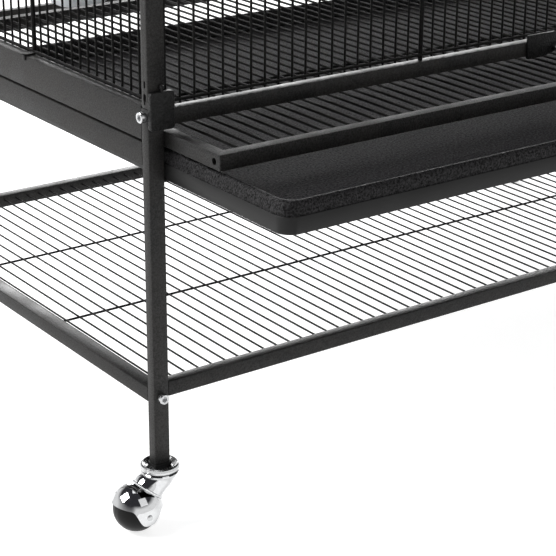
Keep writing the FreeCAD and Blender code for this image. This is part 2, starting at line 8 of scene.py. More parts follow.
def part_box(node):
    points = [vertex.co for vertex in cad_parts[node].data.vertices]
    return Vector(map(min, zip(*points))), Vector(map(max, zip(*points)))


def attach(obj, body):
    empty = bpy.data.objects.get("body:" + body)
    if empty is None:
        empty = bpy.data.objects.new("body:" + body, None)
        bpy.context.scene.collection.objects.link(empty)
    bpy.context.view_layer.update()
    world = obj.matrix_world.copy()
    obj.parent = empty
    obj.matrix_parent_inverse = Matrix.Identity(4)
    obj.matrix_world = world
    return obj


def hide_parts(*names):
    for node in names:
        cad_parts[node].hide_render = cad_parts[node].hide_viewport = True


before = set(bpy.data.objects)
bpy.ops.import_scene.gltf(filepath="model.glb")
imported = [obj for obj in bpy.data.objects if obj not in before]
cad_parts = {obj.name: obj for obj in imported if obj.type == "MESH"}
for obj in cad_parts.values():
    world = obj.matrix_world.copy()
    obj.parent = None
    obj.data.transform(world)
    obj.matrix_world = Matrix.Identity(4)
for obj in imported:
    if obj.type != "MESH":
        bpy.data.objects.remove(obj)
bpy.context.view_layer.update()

MM = 0.001
X = Vector((1, 0, 0))
Y = Vector((0, 1, 0))
Z = Vector((0, 0, 1))


def span(node):
    """The low and high corners of a node, in millimetres."""
    low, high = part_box(node)
    return low / MM, high / MM


LEFT = span("corner_post_front_left")[0].x
FRONT = span("corner_post_front_left")[0].y
BACK = span("corner_post_rear_left")[1].y
RIGHT = -LEFT


# ---------------------------------------------------------------- finishes
class Finish:
    """A material under construction: one Principled shader and Object coordinates."""

    def __init__(self, name, colour, rough, metal=0.0, gloss=0.5):
        self.material = bpy.data.materials.new(name)
        self.material.use_nodes = True
        self.tree = self.material.node_tree
        self.shader = self.tree.nodes["Principled BSDF"]
        self.set("Base Color", (*colour, 1.0))
        self.set("Roughness", rough)
        self.set("Metallic", metal)
        self.set("Specular IOR Level", gloss)
        self.place = self.tree.nodes.new("ShaderNodeTexCoord").outputs["Object"]

    def set(self, socket, value):
        self.shader.inputs[socket].default_value = value

    def add(self, kind, **values):
        node = self.tree.nodes.new(kind)
        for key, value in values.items():
            node.inputs[key.replace("_", " ")].default_value = value
        return node

    def link(self, output, socket):
        self.tree.links.new(output, socket)

    def noise(self, scale, detail=3.0, rough=0.55):
        node = self.add("ShaderNodeTexNoise", Scale=scale, Detail=detail, Roughness=rough)
        self.link(self.place, node.inputs["Vector"])
        return node.outputs["Fac"]

    def cells(self, scale, smooth=0.6):
        node = self.tree.nodes.new("ShaderNodeTexVoronoi")
        node.feature = "SMOOTH_F1"
        node.inputs["Scale"].default_value = scale
        node.inputs["Smoothness"].default_value = smooth
        self.link(self.place, node.inputs["Vector"])
        return node.outputs["Distance"]

    def ramp(self, value, low, high, start=0.35, end=0.65):
        """Turn a pattern into a number between low and high."""
        node = self.add(
            "ShaderNodeMapRange", From_Min=start, From_Max=end, To_Min=low, To_Max=high
        )
        self.link(value, node.inputs["Value"])
        return node.outputs["Result"]

    def tint(self, value, dark, light, start=0.35, end=0.65):
        node = self.tree.nodes.new("ShaderNodeValToRGB")
        node.color_ramp.elements[0].position = start
        node.color_ramp.elements[0].color = (*dark, 1.0)
        node.color_ramp.elements[1].position = end
        node.color_ramp.elements[1].color = (*light, 1.0)
        self.link(value, node.inputs["Fac"])
        self.link(node.outputs["Color"], self.shader.inputs["Base Color"])

    def rough(self, value, low, high):
        self.link(self.ramp(value, low, high), self.shader.inputs["Roughness"])

    def bump(self, *layers):
        """Stack relief layers, each a pattern, a strength and a depth in millimetres."""
        normal = None
        for value, strength, depth in layers:
            node = self.add("ShaderNodeBump", Strength=strength, Distance=depth * MM)
            self.link(value, node.inputs["Height"])
            if normal:
                self.link(normal, node.inputs["Normal"])
            normal = node.outputs["Normal"]
        self.link(normal, self.shader.inputs["Normal"])


def grey(level, warm=0.0):
    return (level * (1 + warm), level, level * (1 - warm))


def powder_coat(name, level, rough, gloss, grain, depth):
    """Baked black paint: a fine orange-peel grain, cloudy gloss and faint colour drift."""
    f = Finish(name, grey(level), rough, 0.0, gloss)
    fine = f.noise(grain, 2.0, 0.6)
    cloud = f.noise(28.0, 3.0)
    f.tint(cloud, grey(level * 0.7), grey(level * 1.35, 0.06))
    f.rough(cloud, rough - 0.06, rough + 0.08)
    f.link(f.ramp(fine, gloss * 0.6, gloss * 1.5), f.shader.inputs["Specular IOR Level"])
    f.bump((cloud, 0.10, 0.25), (fine, 0.8, depth))
    return f.material


def hammered(name, level):
    """Thick textured enamel with small round dimples."""
    f = Finish(name, grey(level), 0.42, 0.0, 0.2)
    dimples = f.cells(760.0)
    fine = f.noise(1500.0, 2.0)
    f.tint(dimples, grey(level * 1.9), grey(level * 0.6), 0.1, 0.6)
    f.rough(fine, 0.34, 0.52)
    f.bump((dimples, 0.9, 0.45), (fine, 0.4, 0.1))
    return f.material


def stippled(name, level, scale, depth, rough, gloss):
    """Moulded plastic with a pebbled skin; its colour carries painted highlights on the raised pebbles and
    painted shade in the hollows between them.
    """
    f = Finish(name, (level * 1.03, level * 0.97, level * 1.05), rough, 0.0, gloss)
    pebbles = f.noise(scale, 2.5, 0.65)
    fine = f.noise(scale * 2.1, 2.0)
    # painted highlight and painted shade: the colour is lighter on the raised pebbles and darker in the
    # hollows between them
    f.tint(pebbles, grey(level * 0.55), (level * 1.5, level * 1.42, level * 1.55))
    f.rough(fine, rough - 0.08, rough + 0.08)
    f.link(f.ramp(pebbles, gloss * 0.2, gloss * 2.2), f.shader.inputs["Specular IOR Level"])
    f.bump((pebbles, 0.85, depth), (fine, 0.5, depth * 0.35))
    return f.material


def satin_plastic(name, level, rough, gloss=0.5):
    f = Finish(name, grey(level), rough, 0.0, gloss)
    flow = f.noise(22.0, 2.0)
    fine = f.noise(1300.0, 2.0)
    f.tint(flow, grey(level * 0.75), grey(level * 1.3))
    f.rough(flow, rough - 0.05, rough + 0.06)
    f.bump((flow, 0.06, 0.3), (fine, 0.3, 0.04))
    return f.material


def plated(name, level, rough, wave):
    """Bright plating over pressed steel, with a slightly uneven surface."""
    f = Finish(name, grey(level, -0.01), rough, 1.0)
    flow = f.noise(90.0, 1.0)
    haze = f.noise(500.0, 3.0)
    f.tint(haze, grey(level * 0.94, -0.01), grey(level, -0.01))
    f.rough(haze, max(0.03, rough - 0.03), rough + 0.04)
    f.bump((flow, 0.12, wave))
    return f.material


def milky(name):
    """Translucent white moulded plastic."""
    f = Finish(name, (0.80, 0.82, 0.84), 0.38, 0.0, 0.5)
    f.set("Transmission Weight", 0.35)
    f.set("IOR", 1.46)
    f.set("Subsurface Weight", 0.25)
    f.set("Subsurface Radius", (0.01, 0.01, 0.01))
    flow = f.noise(60.0, 2.0)
    fine = f.noise(900.0, 2.0)
    f.tint(flow, (0.74, 0.77, 0.80), (0.86, 0.87, 0.88))
    f.rough(fine, 0.32, 0.46)
    f.bump((flow, 0.1, 0.3), (fine, 0.25, 0.05))
    return f.material


TUBE = powder_coat("black_powder_coat", 0.012, 0.48, 0.22, 900.0, 0.22)
TUBE_TOP = powder_coat("black_coat_top", 0.012, 0.42, 0.30, 900.0, 0.20)
SHEET = powder_coat("black_sheet_coat", 0.008, 0.52, 0.18, 700.0, 0.25)
BAR_COAT = powder_coat("grate_bar_coat", 0.008, 0.46, 0.20, 760.0, 0.34)
WIRE_COAT = powder_coat("black_wire_coat", 0.004, 0.46, 0.08, 1100.0, 0.06)
HAMMERED = hammered("hammered_black", 0.008)
RIM_SKIN = stippled("tray_rim_skin", 0.009, 620.0, 0.90, 0.46, 0.10)
FLOOR_SKIN = stippled("tray_floor_skin", 0.015, 560.0, 0.60, 0.66, 0.07)
SKIRT_SKIN = satin_plastic("tray_skirt_skin", 0.010, 0.44, 0.16)
BALL_SKIN = satin_plastic("ball_skin", 0.006, 0.40, 0.14)
CAP_SKIN = satin_plastic("black_cap_plastic", 0.006, 0.42, 0.16)
CHROME = plated("bright_plating", 0.66, 0.06, 0.25)
FLANGE = plated("flange_plating", 0.60, 0.24, 0.30)
STEEL = plated("screw_plating", 0.56, 0.22, 0.08)
CUP_SKIN = milky("milky_white_plastic")


# ---------------------------------------------------------------- shaping
def bar(bm, low, high, edge=0.9, steps=2):
    """A square bar with rounded edges between two corners."""
    made = bmesh.ops.create_cube(bm, size=1.0)["verts"]
    bmesh.ops.scale(bm, vec=high - low, verts=made)
    bmesh.ops.translate(bm, vec=(low + high) / 2, verts=made)
    soften(bm, {e for v in made for e in v.link_edges}, edge, steps)


def soften(bm, edges, edge, steps=2):
    """Round a set of edges over."""
    bmesh.ops.bevel(
        bm,
        geom=list(edges),
        offset=edge,
        offset_type="OFFSET",
        segments=steps,
        profile=0.5,
        affect="EDGES",
        clamp_overlap=True,
        material=-1,
    )


def wire(bm, start, end, radius, sides=8):
    """A round wire between two points."""
    way = end - start
    turn = way.to_track_quat("Z", "Y").to_matrix().to_4x4()
    bmesh.ops.create_cone(
        bm,
        cap_ends=True,
        segments=sides,
        radius1=radius,
        radius2=radius,
        depth=way.length,
        matrix=Matrix.Translation((start + end) / 2) @ turn,
    )


def ring(bm, centre, axis, radius, sides):
    """An open circle of edges."""
    turn = axis.to_track_quat("Z", "Y").to_matrix().to_4x4()
    made = bmesh.ops.create_circle(
        bm, segments=sides, radius=radius, matrix=Matrix.Translation(centre) @ turn
    )["verts"]
    return list({e for v in made for e in v.link_edges})


def turned(bm, profile, sides, centre=Vector(), axis=Z):
    """Spin a profile of (radius, height) points round an axis."""
    turn = axis.to_track_quat("Z", "Y").to_matrix()
    points = [bm.verts.new(centre + turn @ Vector((r, 0, h))) for r, h in profile]
    edges = [bm.edges.new(pair) for pair in zip(points, points[1:])]
    bmesh.ops.spin(
        bm,
        geom=points + edges,
        cent=centre,
        axis=axis,
        angle=2 * math.pi,
        steps=sides,
        use_merge=True,
    )


def rounded_plate(bm, low, high, z, radius, steps=8):
    """A flat face with round corners; returns it."""
    made = bmesh.ops.create_grid(bm, x_segments=1, y_segments=1, size=0.5)["verts"]
    bmesh.ops.scale(bm, vec=(high.x - low.x, high.y - low.y, 1), verts=made)
    bmesh.ops.translate(bm, vec=((low.x + high.x) / 2, (low.y + high.y) / 2, z), verts=made)
    if not radius:
        return made[0].link_faces[0]
    cut = bmesh.ops.bevel(
        bm,
        geom=made,
        offset=radius,
        segments=steps,
        profile=0.5,
        affect="VERTICES",
        material=-1,
    )
    return cut["verts"][0].link_faces[0]


def rounded_loop(bm, low, high, z, inset, radius, steps=10):
    """A closed loop of edges with round corners, drawn in from an outline."""
    rim = Vector((inset, inset, 0))
    face = rounded_plate(bm, low + rim, high - rim, z, radius, steps)
    edges = list(face.edges)
    bmesh.ops.delete(bm, geom=[face], context="FACES_ONLY")
    return edges


def skinned(bm, loops, index=0):
    """Skin a row of edge loops, one after another."""
    for a, b in zip(loops, loops[1:]):
        for f in bmesh.ops.bridge_loops(bm, edges=a + b)["faces"]:
            f.material_index = index


def pushed(bm, face, way):
    """Extrude a face along a vector."""
    made = bmesh.ops.extrude_face_region(bm, geom=[face])["geom"]
    verts = [v for v in made if isinstance(v, bmesh.types.BMVert)]
    bmesh.ops.translate(bm, vec=way, verts=verts)


def as_object(name, bm):
    mesh = bpy.data.meshes.new(name)
    bm.to_mesh(mesh)
    bm.free()
    piece = bpy.data.objects.new(name, mesh)
    bpy.context.scene.collection.objects.link(piece)
    return piece


def carved(piece, cutter):
    """Cut one closed shape out of a piece for good."""
    cut = piece.modifiers.new("cut", "BOOLEAN")
    cut.operation = "DIFFERENCE"
    cut.solver = "EXACT"
    cut.use_self = True
    cut.object = cutter
    bpy.context.view_layer.update()
    ready = piece.evaluated_get(bpy.context.evaluated_depsgraph_get())
    mesh = bpy.data.meshes.new_from_object(ready)
    mesh.materials.clear()
    piece.modifiers.clear()
    piece.data = mesh
    bpy.data.objects.remove(cutter)


def shaded(mesh, sharp):
    bm = bmesh.new()
    bm.from_mesh(mesh)
    for f in bm.faces:
        f.smooth = True
    for e in bm.edges:
        e.smooth = e.calc_face_angle(0.0) < math.radians(sharp)
    bm.to_mesh(mesh)
    bm.free()


def finished(name, shape, coats, body="frame", nodes=(), sharp=32, cutter=None):
    """Turn a shape in millimetres into a piece of the model."""
    piece = as_object(name, shape)
    if cutter:
        carved(piece, as_object(name + "_cutter", cutter))
    piece.data.transform(Matrix.Scale(MM, 4))
    shaded(piece.data, sharp)
    for coat in coats if isinstance(coats, (list, tuple)) else [coats]:
        piece.data.materials.append(coat)
    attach(piece, body)
    if nodes:
        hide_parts(*nodes)


def steps(start, end, pitch):
    """Places at an even pitch from start, no further than end."""
    return [start + i * pitch for i in range(int((end - start) / pitch + 1e-6) + 1)]


def spread(start, end, gaps):
    """Places that divide a length into equal gaps."""
    return [start + (end - start) * i / gaps for i in range(gaps + 1)]


# ---------------------------------------------------------------- frame tubes
KEYHOLE = ((1.8, 349.2, 352.0), (1.0, 346.2, 347.2), (1.1, 358.8, 362.2))  # radius, low, high
TUBE_WIDE = 10
TUBE_DEEP = 8.6
RAIL_EDGE = 0.8
SEAM = 1.5
CORNERS = [(v, h) for v in ("front", "rear") for h in ("left", "right")]


def tube_piece(node, edge=1.0, seam=0.0):
    """A tube with soft edges and a glossier top; seam leaves a dark joint above it."""
    low, high = span(node)
    bm = bmesh.new()
    bar(bm, low, high - Z * seam, edge)
    bm.normal_update()
    for f in bm.faces:
        f.material_index = 1 if f.normal.z > 0.9 else 0
    finished(node + "_tube", bm, [TUBE, TUBE_TOP], nodes=[node])


def keyholes(side, y):
    """The keyhole and slot in the outer face of a post."""
    cutter = bmesh.new()
    for radius, low, high in KEYHOLE:
        bm = bmesh.new()
        for z in (low, high):
            at = Vector((side * RIGHT, y, z))
            wire(bm, at - X * 3, at + X * 3, radius, 20)
        bmesh.ops.convex_hull(bm, input=bm.verts)
        inner = [v for v in bm.verts if not v.link_faces]
        bmesh.ops.delete(bm, geom=inner, context="VERTS")
        part = bpy.data.meshes.new("slot")
        bm.to_mesh(part)
        bm.free()
        cutter.from_mesh(part)
        bpy.data.meshes.remove(part)
    return cutter


for depth, side in CORNERS:
    where = depth + "_" + side
    tube_piece("leg_" + where)
    low, high = span("corner_post_" + where)
    hole_y = (low.y + high.y) / 2 - (0.3 if depth == "front" else -0.3)
    bm = bmesh.new()
    bar(bm, low, high, 1.0)
    finished(
        "corner_post_" + where + "_tube", bm, TUBE,
        nodes=["corner_post_" + where], cutter=keyholes(-1 if side == "left" else 1, hole_y),
    )
    cap = bmesh.new()
    top = high.z
    bar(cap, Vector((low.x, low.y, top)), Vector((high.x, high.y, top + 4)), 1.4, 3)
    finished("post_cap_" + where, cap, CAP_SKIN, nodes=["post_caps"])

for rail in ("shelf_rail_front", "shelf_rail_rear", "shelf_rail_left", "shelf_rail_right",
             "tray_rail_left", "tray_rail_right", "tray_rail_rear", "floor_rail_left",
             "floor_rail_right", "floor_rail_front", "floor_rail_rear"):
    tube_piece(rail, RAIL_EDGE, SEAM if rail in ("tray_rail_left", "tray_rail_right") else 0.0)

low, high = span("top_rails_across")
for name, y0, y1 in (("front", low.y, low.y + TUBE_DEEP), ("rear", high.y - TUBE_DEEP, high.y)):
    bm = bmesh.new()
    bar(bm, Vector((low.x, y0, low.z)), Vector((high.x, y1, high.z)), 0.9)
    finished("top_rail_" + name, bm, TUBE, nodes=["top_rails_across"])
low, high = span("top_rails_side")
for name, x0, x1 in (("left", low.x, low.x + TUBE_WIDE), ("right", high.x - TUBE_WIDE, high.x)):
    bm = bmesh.new()
    bar(bm, Vector((x0, low.y, low.z)), Vector((x1, high.y, high.z)), 0.9)
    finished("top_rail_" + name, bm, TUBE, nodes=["top_rails_side"])


# ---------------------------------------------------------------- wire panels
THIN = 1.0
CROSS = 1.25
ROD = 1.9
FOOT = 345.3
HEAD = 1328.0


def panel(bm, bars, rows, point, bar_reach, row_reach, gap=(0.9, -0.9), thin=THIN, cross=CROSS):
    """Welded wires: bars stand on one side of the panel, cross wires lie on the other."""
    for u in bars:
        wire(bm, point(u, bar_reach[0], gap[0]), point(u, bar_reach[1], gap[0]), thin)
    for v in rows:
        wire(bm, point(row_reach[0], v, gap[1]), point(row_reach[1], v, gap[1]), cross)


def front_point(y):
    return lambda u, v, off: Vector((u, y + off, v))


def side_point(x, out):
    return lambda u, v, off: Vector((x + out * off, u, v))


def flat_point(z):
    return lambda u, v, off: Vector((u, v, z + off))


FRONT_PITCH = 12.8
SIDE_PITCH = 12.6
SIDE_REAR_PITCH = 13.4
SIDE_FIRST = FRONT + 29.6
SIDE_ROD = FRONT + 190.7
FEEDER_NEAR = SIDE_FIRST + 9 * SIDE_PITCH
FRONT_ROD = LEFT + 261.9
PLANE = FRONT + 5.0  # the front panel's middle plane
POST_X = 15.2
POST_Y = 8.6
SIDE_INSET = 10.9
REAR_INSET = 5.0
ROOF_Z = 1336.0
SHELF_PITCH = 12.86
SHELF_WIRE = 0.82
SHELF_CROSS = 1.05
SHELF_ROWS = (166, 316)
ROWS = spread(FOOT, HEAD, 6)
DOOR_Z = (503.8, 883.8)
FEEDER_Z = (403.8, 493.8)
CUP_WIRE_Z = 437.8
LATCH_Z = 333.8


def front_panel():
    """The front wires, left open where the door stands."""
    bm = bmesh.new()
    point = front_point(PLANE)
    count = int((FRONT_ROD - LEFT - POST_X) / FRONT_PITCH)
    bars = [FRONT_ROD - FRONT_PITCH * (i + 1) for i in range(count)]
    tall = (FOOT - 3.5, HEAD + 1)
    for side in (1, -1):
        places = [side * u for u in bars]
        reach = sorted((side * (LEFT + POST_X - 1), side * FRONT_ROD))
        panel(bm, places, ROWS, point, tall, reach)
    middle = steps(FRONT_ROD + FRONT_PITCH, -FRONT_ROD - FRONT_PITCH / 2, FRONT_PITCH)
    reach = (FRONT_ROD, -FRONT_ROD)
    panel(bm, middle, [ROWS[0], DOOR_Z[0] - 2.6], point, (tall[0], DOOR_Z[0] - 1.4), reach)
    upper = [DOOR_Z[1] + 2.6, *ROWS[5:]]
    panel(bm, middle, upper, point, (DOOR_Z[1] + 1.4, tall[1]), reach)
    for x in (FRONT_ROD, -FRONT_ROD):
        wire(bm, Vector((x, PLANE, FOOT - 4.5)), Vector((x, PLANE, HEAD)), ROD, 14)
    finished("front_panel", bm, WIRE_COAT, nodes=["front_grille"])


def side_panel(side, node):
    """The side wires, left open where the feeder door stands."""
    bm = bmesh.new()
    out = -1 if side == "left" else 1
    x = out * (RIGHT - SIDE_INSET)
    point = side_point(x, -out)
    near, far = FEEDER_NEAR, SIDE_ROD
    tall = (FOOT - 3.0, HEAD + 1)
    front = [SIDE_FIRST + SIDE_PITCH * i for i in range(10)]
    rear = steps(far + SIDE_PITCH, BACK - POST_Y - 2, SIDE_REAR_PITCH)
    middle = steps(near + SIDE_PITCH, far - SIDE_PITCH / 2, SIDE_PITCH)
    panel(bm, front, ROWS, point, tall, (FRONT + POST_Y - 1, near + 1))
    panel(bm, rear, ROWS, point, tall, (far, BACK - POST_Y + 1))
    low, high = FEEDER_Z
    panel(bm, middle, [ROWS[0], low - 2.6], point, (tall[0], low - 1.4), (near, far))
    panel(bm, middle, [high + 2.6, *ROWS[1:]], point, (high + 1.4, tall[1]), (near, far))
    wire(bm, Vector((x, far, FOOT - 1.7)), Vector((x, far, HEAD)), ROD, 14)
    wire(bm, Vector((x, near, CUP_WIRE_Z)), Vector((x, far, CUP_WIRE_Z)), CROSS)
    finished(node + "_wires", bm, WIRE_COAT, nodes=[node])


def rear_panel():
    """The rear wires, one plain panel."""
    bm = bmesh.new()
    start = LEFT + POST_X + 1
    bars = spread(start, -start, round(-2 * start / FRONT_PITCH))
    panel(bm, bars, ROWS, front_point(BACK - REAR_INSET), (FOOT - 3.5, HEAD + 1),
          (start, -start), (-0.9, 0.9))
    finished("rear_panel", bm, WIRE_COAT, nodes=["rear_grille"])


def roof_panel():
    """The roof wires, with cross wires under them."""
    bm = bmesh.new()
    start = LEFT + 11
    bars = spread(start, -start, round(-2 * start / FRONT_PITCH))
    inset = POST_Y + 1.3
    rows = spread(FRONT + inset, BACK - inset, 3)
    reach = (FRONT + POST_Y - 0.5, BACK - POST_Y + 0.5)
    panel(bm, bars, rows, flat_point(ROOF_Z), reach, (start, -start), (0.9, -0.9))
    finished("roof_panel", bm, WIRE_COAT, nodes=["roof_grille"])


def shelf_panel():
    """The shelf wires, thinner than the rest, with two cross wires."""
    low, high = span("shelf_grille")
    bm = bmesh.new()
    ends = high.x - THIN
    bars = spread(-ends, ends, round(2 * ends / SHELF_PITCH))
    rows = [FRONT + u for u in SHELF_ROWS]
    across = (low.x + 0.4, high.x - 0.4)
    middle = (low.z + high.z) / 2
    panel(bm, bars, rows, flat_point(middle), (low.y - 0.4, high.y + 0.4), across, (0.4, -1.4),
          SHELF_WIRE, SHELF_CROSS)
    finished("shelf_panel", bm, WIRE_COAT, nodes=["shelf_grille"])


front_panel()
side_panel("left", "side_grille_left")
side_panel("right", "side_grille_right")
rear_panel()
roof_panel()
shelf_panel()


# ---------------------------------------------------------------- tray and grate
TRAY_CORNER = 12.0
GRATE_BAR = 10.5
GRATE_PITCH = 12.6
GRATE_WIRE = 1.15
GRATE_HOLE_R = 2.7
GRATE_HOLE_Y = 7.4


def tray():
    """A moulded tray: smooth skirt, pebbled rim rolled over its edge, grained floor."""
    low, high = span("tray")
    bm = bmesh.new()

    def loops(*profile):
        return [rounded_loop(bm, low, high, low.z + z, inset, TRAY_CORNER) for inset, z in profile]

    under = loops((4.0, 4.4), (3.2, 0.3), (2.6, 0.0), (0.5, 0.0), (0.0, 0.5))
    skirt = loops((0.0, 12.4), (0.2, 12.8))
    rim = loops((0.9, 13.0), (1.2, 15.0), (1.7, 18.0), (2.3, 20.4), (3.2, 22.0), (4.4, 22.9),
                (5.6, 23.1), (6.8, 22.6), (7.7, 21.0), (8.8, 16.0), (10.0, 9.6), (11.2, 6.9))
    floor = loops((12.6, 6.0), (15.0, 6.4))
    skinned(bm, under + skirt, 0)
    skinned(bm, [skirt[-1]] + rim, 1)
    skinned(bm, [rim[-1]] + floor, 2)
    for f in bmesh.ops.contextual_create(bm, geom=floor[-1])["faces"]:
        f.material_index = 2
    bmesh.ops.contextual_create(bm, geom=under[0])
    bmesh.ops.recalc_face_normals(bm, faces=bm.faces)
    finished("tray_moulding", bm, [SKIRT_SKIN, RIM_SKIN, FLOOR_SKIN], "tray",
             ["tray"], sharp=50)


def grate_frame():
    """A welded frame of flat bars, with a hole in each end of the front bar."""
    low, high = span("grate_frame")
    bm = bmesh.new()
    face = rounded_plate(bm, low, high, low.z, 0)
    bmesh.ops.inset_region(
        bm, faces=[face], thickness=GRATE_BAR, use_even_offset=True, use_boundary=True
    )
    bmesh.ops.delete(bm, geom=[face], context="FACES")
    made = bmesh.ops.extrude_face_region(bm, geom=list(bm.faces))["geom"]
    lifted = [v for v in made if isinstance(v, bmesh.types.BMVert)]
    bmesh.ops.translate(bm, vec=Z * (high.z - low.z), verts=lifted)
    bmesh.ops.remove_doubles(bm, verts=bm.verts, dist=0.1)
    bmesh.ops.recalc_face_normals(bm, faces=bm.faces)
    sharp = [e for e in bm.edges if e.calc_face_angle(0) > 1.0]
    soften(bm, sharp, 0.8, 3)
    cutter = bmesh.new()
    at = Vector((0, low.y + GRATE_HOLE_Y, (low.z + high.z) / 2))
    wire(cutter, at + X * (low.x - 1), at + X * (low.x + 5), GRATE_HOLE_R, 24)
    wire(cutter, at + X * (high.x - 5), at + X * (high.x + 1), GRATE_HOLE_R, 24)
    finished("grate_bars", bm, BAR_COAT, "grate", ["grate_frame"], cutter=cutter)


def grate_wires():
    """The wires inside the grate's frame, with two cross wires under them."""
    low, high = span("grate_frame")
    bm = bmesh.new()
    inset = GRATE_BAR
    ends = high.x - inset - THIN
    bars = spread(-ends, ends, round(2 * ends / GRATE_PITCH))
    rows = spread(low.y + inset + 1.3, high.y - inset - 1.3, 3)[1:3]
    reach = (low.y + inset - 0.5, high.y - inset + 0.5)
    across = (low.x + inset - 0.5, high.x - inset + 0.5)
    panel(bm, bars, rows, flat_point(high.z - 2.2), reach, across, (0.6, -1.4),
          thin=GRATE_WIRE)
    finished("grate_floor", bm, WIRE_COAT, "grate", ["grate_wires"])


def grate_latch():
    """The bent tab that turns on the middle screw and locks the grate."""
    low, high = span("grate_latch")
    bm = bmesh.new()
    points = ((-32.0, 13.0), (-32.0, -7.5), (-14.0, -7.5), (5.5, -3.0), (5.5, 6.5), (0.0, 13.0))
    corners = [bm.verts.new((u, high.y, LATCH_Z + v)) for u, v in points]
    bm.faces.new(corners)
    bmesh.ops.bevel(bm, geom=corners, offset=1.6, segments=3, profile=0.5, affect="VERTICES",
                    material=-1)
    bm.faces.ensure_lookup_table()
    pushed(bm, bm.faces[0], Y * (low.y - high.y))
    bmesh.ops.recalc_face_normals(bm, faces=bm.faces)
    soften(bm, [e for e in bm.edges if e.calc_face_angle(0) > 1.0], 0.4, 2)
    finished("grate_latch_tab", bm, HAMMERED, "grate_latch", ["grate_latch"])


tray()
grate_frame()
grate_wires()
grate_latch()


# ---------------------------------------------------------------- brackets, clips and screws
BRACKET_WIDE = 21.0
BRACKET_TOP = 355.4
PIN_INSET = 10.8
SCREW_Z = 336.3
SHELF_SCREW_Z = 110.4
SCREW_SIDES = 36
SCREW_HEAD_R = 4.25
SCREW_HEAD = 5.0
PIN = ((0, -1), (1.25, -1), (1.25, 1.4), (1.7, 2.0), (1.95, 3.1), (1.7, 4.2), (1.0, 4.9), (0, 5.1))


def corner_bracket(side):
    """The pressed corner bracket and the round-headed pin that stands on it."""
    low, high = span("corner_brackets")
    x0 = LEFT if side < 0 else RIGHT - BRACKET_WIDE
    bm = bmesh.new()
    corner = Vector((x0, low.y, low.z))
    bar(bm, corner, Vector((x0 + BRACKET_WIDE, high.y, BRACKET_TOP)), 0.01, 1)
    bmesh.ops.remove_doubles(bm, verts=bm.verts, dist=0.05)
    upright = [e for e in bm.edges if abs((e.verts[0].co - e.verts[1].co).normalized().y) > 0.9]
    soften(bm, upright, 2.6, 4)
    face = [e for e in bm.edges if all(abs(v.co.y - low.y) < 0.01 for v in e.verts)]
    soften(bm, face, 0.9, 3)
    finished("corner_bracket_" + ("left" if side < 0 else "right"), bm, HAMMERED,
             nodes=["corner_brackets"])
    pin = bmesh.new()
    at = Vector((side * (RIGHT - PIN_INSET), (low.y + high.y) / 2, BRACKET_TOP))
    turned(pin, PIN, 20, at)
    bmesh.ops.remove_doubles(pin, verts=pin.verts, dist=0.01)
    bmesh.ops.recalc_face_normals(pin, faces=pin.faces)
    finished("bracket_pin_" + ("left" if side < 0 else "right"), pin, HAMMERED)


def screw(bm, base, way):
    """A socket head cap screw with a chamfered head and a hexagonal recess."""
    head, tall = SCREW_HEAD_R, SCREW_HEAD
    loops = []
    for radius, height in ((head, 0), (head, tall - 0.5), (head - 0.5, tall), (2.9, tall)):
        loops.append(ring(bm, base + way * height, way, radius, SCREW_SIDES))
    for height in (tall - 0.35, tall - 2.6):
        loops.append(ring(bm, base + way * height, way, 2.45, 6))
    for a, b in zip(loops, loops[1:]):
        bmesh.ops.bridge_loops(bm, edges=a + b)
    bmesh.ops.contextual_create(bm, geom=loops[-1])
    bmesh.ops.contextual_create(bm, geom=loops[0])


def screws():
    """Two screws at each corner and the one that the grate's latch turns on."""
    bm = bmesh.new()
    for depth, y in ((-1, FRONT + 4.8), (1, BACK - 4.8)):
        for side in (-1, 1):
            screw(bm, Vector((side * RIGHT, y, SCREW_Z)), X * side)
            y_face = FRONT if depth < 0 else BACK
            screw(bm, Vector((side * (RIGHT - 6.8), y_face, SHELF_SCREW_Z)), Y * depth)
    screw(bm, Vector((0, FRONT - 3.0, LATCH_Z)), -Y)
    bmesh.ops.recalc_face_normals(bm, faces=bm.faces)
    finished("cap_screws", bm, STEEL, nodes=["socket_screws"], sharp=28)


def clip(side):
    """The folded strip that holds the side panel's thick rod to the rail."""
    low, high = span("panel_clips")
    out = side * RIGHT
    y0 = SIDE_ROD - 5.5
    bm = bmesh.new()
    outer = sorted((out + side * 1.4, out + side * 0.1))
    bar(bm, Vector((outer[0], y0, low.z)), Vector((outer[1], y0 + 5, high.z)), 0.35)
    reach = sorted((out + side * 1.4, out - side * 8.7))
    bar(bm, Vector((reach[0], y0, high.z - 1.5)), Vector((reach[1], y0 + 5, high.z)), 0.35)
    finished("panel_clip_" + ("left" if side < 0 else "right"), bm, SHEET,
             nodes=["panel_clips"])


for side in (-1, 1):
    corner_bracket(side)
    clip(side)
screws()


# ---------------------------------------------------------------- doors
KNUCKLE = 12.0
BOLT_R = 1.4
CUP_WIDE = 39
CUP_OUT = 52.0
CUP_FLOOR = 385.0
CUP_CORNER = 6.5
HOOK_Y = 9


def barrel(tall):
    """The outline of a rolled barrel round a rod, as turned() takes it."""
    bore = ROD + 0.1
    return (bore, 0), (3.0, 0), (3.2, 0.4), (3.2, tall - 0.4), (3.0, tall), (bore, tall)


def knuckle(bm, axis, z, tall, arm_to):
    """A rolled barrel round a rod, with a strap to the door's first bar."""
    turned(bm, barrel(tall), 20, Vector((axis.x, axis.y, z)))
    way = (arm_to - axis).normalized()
    across = Vector((way.y, -way.x, 0))
    start = axis + way * 2.6
    corners = [start + across * 0.9, arm_to - across * 0.9 + way * 1.0]
    low = Vector((min(c.x for c in corners), min(c.y for c in corners), z))
    high = Vector((max(c.x for c in corners), max(c.y for c in corners), z + tall))
    bar(bm, low, high, 0.3)


